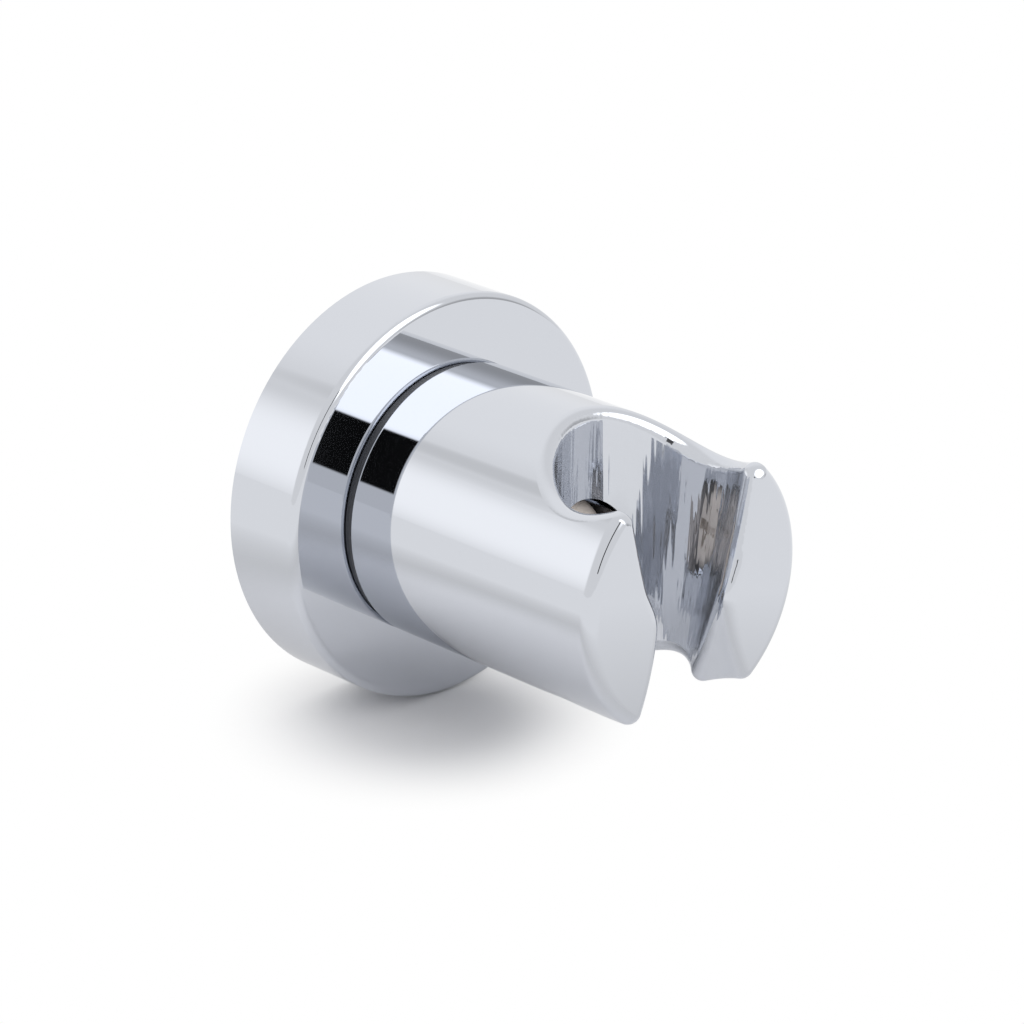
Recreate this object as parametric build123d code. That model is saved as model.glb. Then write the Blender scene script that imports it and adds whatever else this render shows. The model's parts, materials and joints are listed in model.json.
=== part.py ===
from build123d import *
import os
from math import radians, sqrt, tan

# Hand shower holder for a wall, millimetres, +Z up.
# The wall is the plane Y = 0 and the holder stands out of it along -Y.
# The origin is where the barrel's axis meets the wall.
# A distance named "out" is measured from the wall along that axis.

# Flange against the wall
flange_radius = 28.2
flange_depth = 12.5
flange_wall = 2.0
flange_edge_radius = 1.1
flange_bore_radius = 12.4
gasket_width = 1.0
gasket_depth = 1.0

# Barrel
barrel_radius = 19.0
barrel_reach = 58.0
barrel_back_edge_radius = 0.5
barrel_core_radius = 15.8
barrel_core_depth = 6.0

# Upright tapered cradle in the barrel
cradle_radius = 10.6
cradle_taper = 7.0
cradle_lean = 9.0
cradle_overhang = 0.2
throat_width = 12.4
throat_overhang = 1.0
throat_lip = 1.4819
rim_radius = 1.7

# Swivel: journal, bush, friction ring
journal_radius = 8.0
bush_wall = 2.6
bush_length = 10.0
hub_radius = 14.0
plate_thickness = 4.0
journal_length = 11.2
friction_ring_thickness = 0.6
friction_ring_inset = 0.5
o_ring_groove_width = 1.8
o_ring_groove_depth = 1.1
o_ring_groove_setback = 2.0

# Clamp screw and what lies under its head
screw_radius = 3.0
screw_head_radius = 6.0
screw_head_height = 4.6
screw_engagement = 8.0
recess_width = 1.3
recess_span = 6.0
recess_depth = 2.2
insert_wall = 1.7
insert_length = 9.0
web_thickness = 4.2
washer_radius = 5.9
washer_thickness = 1.0
spring_washer_radius = 5.2
spring_washer_thickness = 1.4
spring_washer_gap = 0.9

# Slotted holes for the wall screws, left and right in the plate
wall_slot_margin = 2.8
wall_slot_radius = 2.3
wall_slot_length = 8.0

# Clearances
running_gap = 0.15
journal_clearance = 0.05
seat_clearance = 0.05
plate_clearance = 0.4
screw_clearance = 0.4
washer_clearance = 0.7
past = 2.0
near = 0.001

# Places along the axis that follow from the sizes above
hub_out = flange_depth - flange_wall
ring_out = flange_depth
barrel_out = ring_out + friction_ring_thickness + running_gap
journal_out = barrel_out + journal_length
web_out = journal_out + screw_clearance
washer_seat_out = web_out + web_thickness
washer_out = washer_seat_out + running_gap
spring_out = washer_out + washer_thickness
head_out = spring_out + spring_washer_thickness
bush_outer_radius = journal_radius + journal_clearance + bush_wall
counterbore_radius = max(screw_head_radius, washer_radius) + washer_clearance
screw_tip_out = journal_out - screw_engagement
insert_radius = screw_radius + insert_wall
flange_inner_radius = flange_radius - flange_wall
plate_radius = flange_inner_radius - plate_clearance
cradle_out = barrel_reach + cradle_overhang - cradle_radius
cradle_top_radius = cradle_radius + barrel_radius * tan(radians(cradle_taper))
cone_length = 4 * barrel_radius
throat_out = barrel_reach + throat_overhang
throat_height = 2.5 * barrel_radius
throat_spread = cradle_top_radius - throat_lip - throat_width / 2
throat_flare_radius = (barrel_radius**2 + throat_spread**2) / (2 * throat_spread)
wall_slot_reach = plate_radius - wall_slot_margin - wall_slot_length / 2


def turned(profile):
    """A solid turned about the barrel's axis from (radius, out) corners."""
    corners = [(radius, -out) for radius, out in profile]
    return revolve(make_face(Polyline(*corners, close=True)), Axis.Y)


def ring(outer_radius, inner_radius, start, end):
    return turned([(inner_radius, start), (outer_radius, start), (outer_radius, end), (inner_radius, end)])


def rod(radius, start, end):
    return turned([(0, start), (radius, start), (radius, end), (0, end)])


def circles_at(solid, radius, out):
    """The round edges of one radius that lie at one distance from the wall."""
    return [
        edge for edge in solid.edges().filter_by(GeomType.CIRCLE)
        if abs(edge.radius - radius) < near and abs(edge.center().Y + out) < near
    ]


# Wall flange: a turned shell with a flat polished face and an eased rim
def make_wall_flange():
    shell = rod(flange_radius, 0, flange_depth) - rod(flange_inner_radius, -past, hub_out)
    shell -= rod(flange_bore_radius, -past, flange_depth + past)
    shell = fillet(circles_at(shell, flange_radius, flange_depth), flange_edge_radius)
    return shell - rod(flange_inner_radius + gasket_width, -past, gasket_depth)


# Gasket: a soft ring in a step inside the back rim of the flange
def make_wall_gasket():
    outer_radius = flange_inner_radius + gasket_width - seat_clearance
    return ring(outer_radius, flange_inner_radius, 0, gasket_depth)


def wall_slot(side):
    centre_x = side * wall_slot_reach
    straight = wall_slot_length - 2 * wall_slot_radius
    outline = SlotCenterToCenter(straight, 2 * wall_slot_radius)
    prism = extrude(outline, amount=plate_thickness + 2 * past)
    return Pos(centre_x, past, 0) * Rot(90, 0, 0) * prism


# Mounting plate: disc, hub and journal in one piece
def make_mounting_plate():
    spigot_radius = flange_bore_radius - seat_clearance
    body = rod(plate_radius, 0, plate_thickness)
    body += rod(hub_radius, 0, hub_out)
    body += rod(spigot_radius, 0, ring_out)
    body += rod(journal_radius, 0, journal_out)
    for side in (-1, 1):
        body -= wall_slot(side)
    body -= rod(insert_radius, journal_out - insert_length, journal_out + past)
    body -= rod(screw_radius + screw_clearance, screw_tip_out - past, journal_out)
    groove_end = journal_out - o_ring_groove_setback
    groove_floor = journal_radius - o_ring_groove_depth
    return body - ring(journal_radius + past, groove_floor, groove_end - o_ring_groove_width, groove_end)


# Brass insert pressed into the journal, threaded for the clamp screw
def make_threaded_insert():
    return ring(insert_radius, screw_radius, journal_out - insert_length, journal_out)


# Rubber ring squeezed between the groove's floor and the bush
def make_journal_o_ring():
    groove_end = journal_out - o_ring_groove_setback
    groove_floor = journal_radius - o_ring_groove_depth
    start = groove_end - o_ring_groove_width + seat_clearance
    return ring(journal_radius, groove_floor + seat_clearance, start, groove_end - seat_clearance)


# Friction ring: the dark line between flange and barrel
def make_friction_ring():
    outer_radius = barrel_radius - friction_ring_inset
    return ring(outer_radius, flange_bore_radius, ring_out, ring_out + friction_ring_thickness)


# Bush pressed into the barrel, turning on the journal
def make_bearing_bush():
    start = web_out - bush_length
    return ring(bush_outer_radius, journal_radius + journal_clearance, start, web_out)


def make_cradle_cone():
    """The upright tapered hole, wider at the top and leaning away from the wall."""
    widening = cone_length / 2 * tan(radians(cradle_taper))
    cone = Cone(cradle_radius - widening, cradle_radius + widening, cone_length)
    return Pos(0, -cradle_out, 0) * Rot(cradle_lean, 0, 0) * cone


def make_throat():
    """The way for the hose: turned about an upright line, narrow at mid height, flaring up and down."""
    waist = throat_width / 2
    top = throat_height / 2
    end = waist + throat_flare_radius - sqrt(throat_flare_radius**2 - top**2)
    flare = ThreePointArc((end, -top), (waist, 0), (end, top))
    outline = flare + Polyline((end, top), (0, top), (0, -top), (end, -top))
    upright = revolve(Rot(90, 0, 0) * make_face(outline), Axis.Z)
    return Pos(0, -throat_out, 0) * upright


def rim_edges(barrel):
    """Every edge of the cradle, the throat and the front, without the barrel's back and side line."""
    ahead = [edge for edge in barrel.edges() if edge.center().Y < -barrel_out - rim_radius]
    return [
        edge for edge in ahead
        if edge.geom_type != GeomType.LINE or edge.center().X < barrel_radius - near
    ]


# Barrel with the cradle, the throat and the two ears
def make_holder_body():
    body = rod(barrel_radius, barrel_out, barrel_reach)
    body -= make_cradle_cone() + make_throat()
    body = fillet(rim_edges(body), rim_radius)
    body = fillet(circles_at(body, barrel_radius, barrel_out), barrel_back_edge_radius)
    body -= rod(barrel_core_radius, barrel_out - past, barrel_out + barrel_core_depth)
    hub = ring(bush_outer_radius + bush_wall, bush_outer_radius, barrel_out, barrel_out + barrel_core_depth)
    body += hub
    body -= rod(bush_outer_radius, barrel_out - past, web_out)
    body -= rod(screw_radius + screw_clearance, web_out - past, washer_seat_out + past)
    return body - rod(counterbore_radius, washer_seat_out, cradle_out)


# Washers under the screw's head
def make_flat_washer():
    return ring(washer_radius, screw_radius + screw_clearance / 2, washer_out, spring_out)


def make_spring_washer():
    washer = ring(spring_washer_radius, screw_radius + screw_clearance / 2, spring_out, head_out)
    cut_length = 2 * spring_washer_radius
    middle = (spring_out + head_out) / 2
    cut = Box(spring_washer_gap, 2 * spring_washer_thickness, cut_length)
    return washer - Pos(0, -middle, -cut_length / 2) * cut


# Clamp screw with a domed head and a cross recess
def make_clamp_screw():
    top_out = head_out + screw_head_height
    screw = rod(screw_radius, screw_tip_out, head_out) + rod(screw_head_radius, head_out, top_out)
    screw = fillet(circles_at(screw, screw_head_radius, top_out), screw_head_height / 2)
    for turn in (0, 90):
        slot = Box(recess_width, 2 * recess_depth, recess_span)
        screw -= Pos(0, -top_out, 0) * Rot(0, turn, 0) * slot
    return screw


pieces = {
    "wall_flange": make_wall_flange,
    "wall_gasket": make_wall_gasket,
    "mounting_plate": make_mounting_plate,
    "threaded_insert": make_threaded_insert,
    "journal_o_ring": make_journal_o_ring,
    "friction_ring": make_friction_ring,
    "bearing_bush": make_bearing_bush,
    "holder_body": make_holder_body,
    "flat_washer": make_flat_washer,
    "spring_washer": make_spring_washer,
    "clamp_screw": make_clamp_screw,
}

os.makedirs("parts", exist_ok=True)
for name, make in pieces.items():
    export_step(make(), f"parts/{name}.step")
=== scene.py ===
import json
from math import cos, radians, sin, tan

import bpy
from mathutils import Matrix, Vector


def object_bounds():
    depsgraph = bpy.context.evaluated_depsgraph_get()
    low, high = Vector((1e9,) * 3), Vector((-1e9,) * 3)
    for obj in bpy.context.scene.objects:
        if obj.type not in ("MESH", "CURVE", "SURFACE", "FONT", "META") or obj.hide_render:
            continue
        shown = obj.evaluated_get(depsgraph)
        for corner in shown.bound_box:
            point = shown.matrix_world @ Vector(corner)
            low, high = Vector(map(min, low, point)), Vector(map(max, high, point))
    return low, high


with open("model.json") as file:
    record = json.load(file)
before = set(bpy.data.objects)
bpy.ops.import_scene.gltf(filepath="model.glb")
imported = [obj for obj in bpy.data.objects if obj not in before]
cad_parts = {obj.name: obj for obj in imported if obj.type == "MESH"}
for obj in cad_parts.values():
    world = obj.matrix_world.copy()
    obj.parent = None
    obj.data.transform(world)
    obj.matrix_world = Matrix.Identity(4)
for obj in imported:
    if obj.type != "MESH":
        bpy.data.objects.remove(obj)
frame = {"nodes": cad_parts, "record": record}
cad_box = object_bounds()

# The photograph's viewpoint, in metres in the part's frame
azimuth = radians(-43.61)
elevation = radians(21.65)
eye = Vector((-0.3502, -0.3918, 0.2028))
lens_mm = 145.33
sensor_mm = 36.0
clip_near = 0.01
clip_far = 50.0

# Wall of the tapered cradle in the barrel, in metres
cradle = next(mount for mount in frame["record"]["mounts"] if mount["name"] == "handset_cradle")
cradle_centre = cradle["pos_m"]
cradle_axis = cradle["axis"]
cradle_radius = 0.0106
cradle_taper = radians(7.0)

# Streaks of the casting: whole on the wall and just outside it, gone a little further out
streaks_whole = 0.0001
streaks_gone = 0.0006
streak_stretch = 0.05
streak_scale = 700.0
streak_depth = 0.00012
cradle_metallic = 0.88

# Floor just below the part, in metres
floor_size = 6.0
floor_gap = 0.0002
floor_height = cad_box[0][2] - floor_gap
floor_color = (0.86, 0.86, 0.87, 1.0)
white = (1.0, 1.0, 1.0, 1.0)

# The eye sees the part's shadow near this centre, and plain white further out
shadow_centre = (-0.009, -0.016, floor_height)
shadow_inner = 0.008
shadow_outer = 0.030

# The chrome mirrors the matte floor within the inner distance and the floor's glow past the outer one.
# That glow is a painted shadow: grey at the near distance, rising to white at the far one, standing in for
# the part's shade on the floor as the chrome mirrors it
mirrored_inner = 0.035
mirrored_outer = 0.065
mirrored_painted_shadow_near = 0.03
mirrored_painted_shadow_far = 0.105
mirrored_painted_shadow_grey = 0.6

# Studio that the chrome mirrors: the room's level, and round panels that are brighter or darker,
# each with its direction, its inner and outer angle in degrees and its level
room_level = 0.9
panels = {
    "above, behind and right": ((0.37, 0.673, 0.64), 22.0, 48.0, 1.04),
    "level, in front and right": ((0.74, -0.673, 0.0), 4.0, 26.0, 0.5),
    "above and in front": ((0.13, -0.673, 0.729), 24.0, 31.0, 2.1),
    "left and behind": ((-0.686, 0.673, 0.277), 1.0, 22.0, 1.28),
    "above, behind and left": ((-0.37, 0.673, 0.64), 0.5, 5.0, 0.78),
}

# Narrow dark card: the strip where these three round areas overlap
card_edges = [
    ((0.0, -1.0, 0.0), 51.0, 52.0),
    ((0.0, 1.0, 0.0), 135.5, 136.5),
    ((-0.575, -0.673, 0.466), 16.5, 18.0),
]
card_level = 0.006


# Camera
def make_camera():
    back = Vector((sin(azimuth) * cos(elevation), -cos(azimuth) * cos(elevation), sin(elevation)))
    right = Vector((cos(azimuth), sin(azimuth), 0.0))
    up = back.cross(right)
    turn = Matrix((right, up, back)).transposed()
    camera_data = bpy.data.cameras.new("camera")
    camera_data.lens = lens_mm
    camera_data.sensor_width = sensor_mm
    camera_data.clip_start = clip_near
    camera_data.clip_end = clip_far
    camera = bpy.data.objects.new("camera", camera_data)
    camera.matrix_world = Matrix.Translation(eye) @ turn.to_4x4()
    bpy.context.scene.collection.objects.link(camera)
    bpy.context.scene.camera = camera


# Nodes that the looks are built from
def add_node(tree, kind, inputs=None, operation=None):
    """A new node, each of its inputs set to a value or linked to another node's output."""
    node = tree.nodes.new(kind)
    if operation:
        node.operation = operation
    for key, value in (inputs or {}).items():
        if isinstance(value, bpy.types.NodeSocket):
            tree.links.new(value, node.inputs[key])
        else:
            node.inputs[key].default_value = value
    return node


def number(tree, operation, *values):
    """A number worked out from numbers."""
    return add_node(tree, "ShaderNodeMath", dict(enumerate(values)), operation).outputs["Value"]


def vector(tree, operation, *values):
    """A vector worked out from vectors."""
    return add_node(tree, "ShaderNodeVectorMath", dict(enumerate(values)), operation).outputs["Vector"]


def measure(tree, operation, *values):
    """A number worked out from vectors, such as a length."""
    return add_node(tree, "ShaderNodeVectorMath", dict(enumerate(values)), operation).outputs["Value"]


def mixed(tree, share, first, second):
    """The first number where the share is 0, the second where it is 1."""
    return add_node(tree, "ShaderNodeMix", {0: share, 2: first, 3: second}).outputs[0]


def ranged(tree, value, start, end, low, high):
    """Low where the value is at its start, high where it is at its end, even between them."""
    inputs = {"Value": value, "From Min": start, "From Max": end, "To Min": low, "To Max": high}
    return add_node(tree, "ShaderNodeMapRange", inputs).outputs["Result"]


def fading(tree, value, start, end):
    """0 where the value is at its start, 1 where it is at its end, smooth between them."""
    fade = add_node(tree, "ShaderNodeMapRange", {"Value": value, "From Min": start, "From Max": end})
    fade.interpolation_type = "SMOOTHSTEP"
    return fade.outputs["Result"]


def noise(tree, place, scale, detail=2.0):
    inputs = {"Vector": place, "Scale": scale, "Detail": detail}
    return add_node(tree, "ShaderNodeTexNoise", inputs).outputs["Fac"]


def object_place(tree):
    return add_node(tree, "ShaderNodeTexCoord").outputs["Object"]


def new_material(name):
    material = bpy.data.materials.new(name)
    material.use_nodes = True
    return material


# Materials
def surface(name, color, metallic, roughness, roughness_spread, grain_scale, relief_depth, relief_scale):
    """A surface whose roughness varies by a fine grain and whose face is slightly uneven."""
    material = new_material(name)
    tree = material.node_tree
    shader = tree.nodes["Principled BSDF"]
    shader.inputs["Base Color"].default_value = (*color, 1.0)
    shader.inputs["Metallic"].default_value = metallic
    place = object_place(tree)
    grain = noise(tree, place, grain_scale, detail=3.0)
    smoothest = roughness - roughness_spread
    roughest = roughness + roughness_spread
    tree.links.new(ranged(tree, grain, 0.0, 1.0, smoothest, roughest), shader.inputs["Roughness"])
    waves = noise(tree, place, relief_scale)
    relief = add_node(tree, "ShaderNodeBump", {"Strength": 1.0, "Distance": relief_depth, "Height": waves})
    tree.links.new(relief.outputs["Normal"], shader.inputs["Normal"])
    return material


def add_cradle_streaks(material):
    """Upright streaks of the casting under the plating, only on the wall of the tapered cradle."""
    tree = material.node_tree
    shader = tree.nodes["Principled BSDF"]
    uneven = tree.nodes["Bump"].outputs["Normal"]
    place = object_place(tree)
    stretched = vector(tree, "MULTIPLY", place, (1.0, 1.0, streak_stretch))
    streaks = noise(tree, stretched, streak_scale)

    from_centre = vector(tree, "SUBTRACT", place, cradle_centre)
    across = vector(tree, "CROSS_PRODUCT", from_centre, cradle_axis)
    from_axis = measure(tree, "LENGTH", across)
    along = measure(tree, "DOT_PRODUCT", from_centre, cradle_axis)
    untapered = number(tree, "MULTIPLY_ADD", along, -tan(cradle_taper), from_axis)
    wall = fading(tree, untapered, cradle_radius + streaks_gone, cradle_radius + streaks_whole)

    inputs = {"Strength": wall, "Distance": streak_depth, "Height": streaks, "Normal": uneven}
    relief = add_node(tree, "ShaderNodeBump", inputs)
    tree.links.new(relief.outputs["Normal"], shader.inputs["Normal"])
    tree.links.new(ranged(tree, wall, 0.0, 1.0, 1.0, cradle_metallic), shader.inputs["Metallic"])


polished = {
    "color": (0.645, 0.665, 0.71),
    "metallic": 1.0,
    "roughness": 0.03,
    "roughness_spread": 0.01,
    "grain_scale": 180.0,
    "relief_depth": 0.000004,
    "relief_scale": 60.0,
}
chrome = surface("chrome", **polished)
body_chrome = surface("body_chrome", **polished)
add_cradle_streaks(body_chrome)

screw_metal = surface(
    "screw_metal", color=(0.68, 0.61, 0.55), metallic=0.35, roughness=0.46, roughness_spread=0.10,
    grain_scale=700.0, relief_depth=0.00004, relief_scale=900.0,
)
plate_metal = surface(
    "plate_metal", color=(0.50, 0.50, 0.52), metallic=1.0, roughness=0.42, roughness_spread=0.10,
    grain_scale=400.0, relief_depth=0.00005, relief_scale=700.0,
)
brass = surface(
    "brass", color=(0.72, 0.52, 0.24), metallic=1.0, roughness=0.28, roughness_spread=0.06,
    grain_scale=600.0, relief_depth=0.00002, relief_scale=500.0,
)
white_plastic = surface(
    "white_plastic", color=(0.80, 0.80, 0.77), metallic=0.0, roughness=0.42, roughness_spread=0.06,
    grain_scale=500.0, relief_depth=0.00002, relief_scale=600.0,
)
dark_plastic = surface(
    "dark_plastic", color=(0.04, 0.042, 0.05), metallic=0.0, roughness=0.38, roughness_spread=0.08,
    grain_scale=500.0, relief_depth=0.00002, relief_scale=600.0,
)
rubber = surface(
    "rubber", color=(0.025, 0.025, 0.026), metallic=0.0, roughness=0.70, roughness_spread=0.08,
    grain_scale=800.0, relief_depth=0.00004, relief_scale=900.0,
)

looks = {
    "wall_flange": chrome,
    "holder_body": body_chrome,
    "clamp_screw": screw_metal,
    "flat_washer": screw_metal,
    "spring_washer": screw_metal,
    "mounting_plate": plate_metal,
    "threaded_insert": brass,
    "bearing_bush": white_plastic,
    "friction_ring": dark_plastic,
    "journal_o_ring": rubber,
    "wall_gasket": rubber,
}
for name, material in looks.items():
    for slot in frame["nodes"][name].material_slots:
        slot.material = material


# Floor
def make_floor_look():
    """Matte near the part, glowing away from it, and clear from below; the glow is plain white to the eye
    and carries a painted shadow near the part for mirror rays.
    """
    material = new_material("floor")
    tree = material.node_tree
    tree.nodes.remove(tree.nodes["Principled BSDF"])
    rays = add_node(tree, "ShaderNodeLightPath")
    to_eye = rays.outputs["Is Camera Ray"]
    face = add_node(tree, "ShaderNodeNewGeometry")
    distance = measure(tree, "DISTANCE", face.outputs["Position"], shadow_centre)

    matte = add_node(tree, "ShaderNodeBsdfDiffuse", {"Color": floor_color})
    # Painted shadow: the glow that mirror rays see is grey near the part and white further out; the eye
    # sees it plain white
    mirrored_level_with_painted_shadow = ranged(tree, distance, mirrored_painted_shadow_near, mirrored_painted_shadow_far, mirrored_painted_shadow_grey, 1.0)
    level = mixed(tree, to_eye, mirrored_level_with_painted_shadow, 1.0)
    plain = add_node(tree, "ShaderNodeEmission", {"Color": white, "Strength": level})

    by_mirror = number(tree, "MAXIMUM", rays.outputs["Is Glossy Ray"], rays.outputs["Is Transmission Ray"])
    mirrored_fade = fading(tree, distance, mirrored_inner, mirrored_outer)
    mirrored_share = number(tree, "MULTIPLY", by_mirror, mirrored_fade)
    seen_share = fading(tree, distance, shadow_inner, shadow_outer)
    share = mixed(tree, to_eye, mirrored_share, seen_share)
    inputs = {"Fac": share, 1: matte.outputs["BSDF"], 2: plain.outputs["Emission"]}
    above = add_node(tree, "ShaderNodeMixShader", inputs)

    clear = add_node(tree, "ShaderNodeBsdfTransparent")
    inputs = {"Fac": face.outputs["Backfacing"], 1: above.outputs["Shader"], 2: clear.outputs["BSDF"]}
    whole = add_node(tree, "ShaderNodeMixShader", inputs)
    tree.links.new(whole.outputs["Shader"], tree.nodes["Material Output"].inputs["Surface"])
    return material


def make_floor():
    half = floor_size / 2
    corners = [
        (-half, -half, floor_height),
        (half, -half, floor_height),
        (half, half, floor_height),
        (-half, half, floor_height),
    ]
    mesh = bpy.data.meshes.new("floor")
    mesh.from_pydata(corners, [], [(0, 1, 2, 3)])
    mesh.materials.append(make_floor_look())
    square = bpy.data.objects.new("floor", mesh)
    bpy.context.scene.collection.objects.link(square)
    return square


# Studio
def round_area(tree, direction, inner_deg, outer_deg):
    """1 inside a round area of the studio, fading to 0 between its inner and outer angle."""
    where = add_node(tree, "ShaderNodeTexCoord").outputs["Generated"]
    aligned = measure(tree, "DOT_PRODUCT", where, Vector(direction).normalized())
    return fading(tree, aligned, cos(radians(outer_deg)), cos(radians(inner_deg)))


def make_studio():
    """The room with its panels and its dark card as the chrome mirrors them, plain white to the eye."""
    world = bpy.data.worlds.new("studio")
    bpy.context.scene.world = world
    world.use_nodes = True
    tree = world.node_tree
    tree.nodes.clear()

    light = room_level
    for direction, inner_deg, outer_deg, level in panels.values():
        light = mixed(tree, round_area(tree, direction, inner_deg, outer_deg), light, level)
    card = 1.0
    for direction, inner_deg, outer_deg in card_edges:
        card = number(tree, "MULTIPLY", card, round_area(tree, direction, inner_deg, outer_deg))
    light = mixed(tree, card, light, card_level)

    rays = add_node(tree, "ShaderNodeLightPath")
    strength = mixed(tree, rays.outputs["Is Camera Ray"], light, 1.0)
    glow = add_node(tree, "ShaderNodeBackground", {"Color": white, "Strength": strength})
    add_node(tree, "ShaderNodeOutputWorld", {"Surface": glow.outputs["Background"]})


make_camera()
bpy.context.scene.view_settings.view_transform = "Standard"
floor = make_floor()
make_studio()
